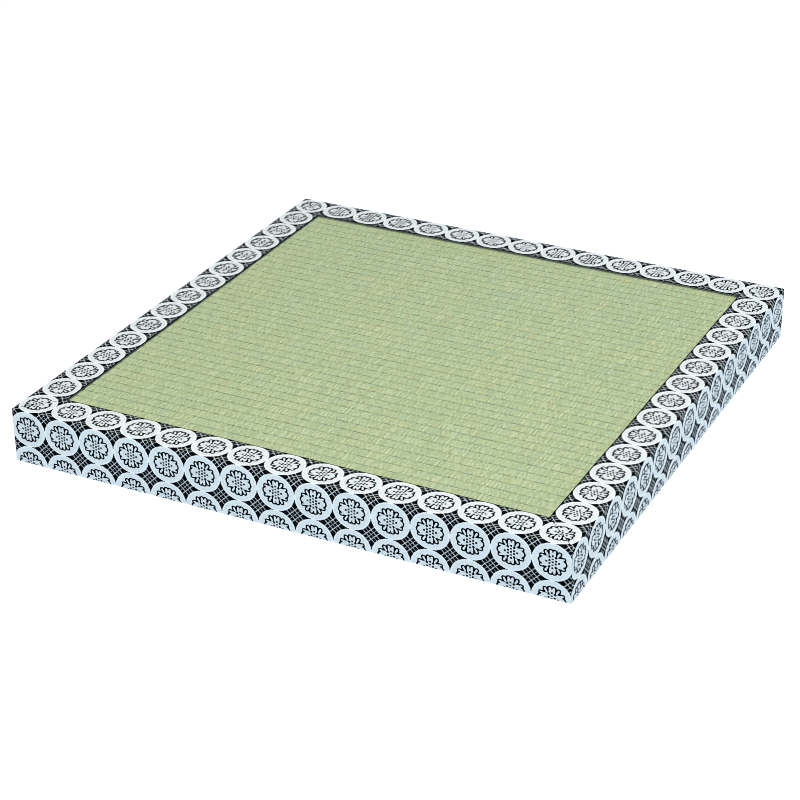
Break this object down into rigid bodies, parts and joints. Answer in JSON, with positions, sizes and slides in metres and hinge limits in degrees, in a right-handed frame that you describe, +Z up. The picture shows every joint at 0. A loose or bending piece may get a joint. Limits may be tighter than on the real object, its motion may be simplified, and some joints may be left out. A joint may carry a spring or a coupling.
{
  "type": "tatami mat",
  "caption": "Thick square floor mat: woven rush facing on a firm body, with a wide border cloth mitred at the corners and carried down the sides.",
  "frame": {"origin": "middle of the underside", "axes": "+Z up through the thickness; the rush rows run along X and single rush stems along Y"},
  "size_m": [0.66, 0.66, 0.065],
  "materials": {
    "rush": "woven rush with a low sheen",
    "border_cloth": "figured weave, pale on black",
    "sewing_thread": "matt twisted thread",
    "backing": "coarse plain weave"
  },
  "bodies": {
    "root": {"rush_mat": "rush", "border_front": "border_cloth", "border_right": "border_cloth", "border_back": "border_cloth", "border_left": "border_cloth"}
  },
  "joints": []
}
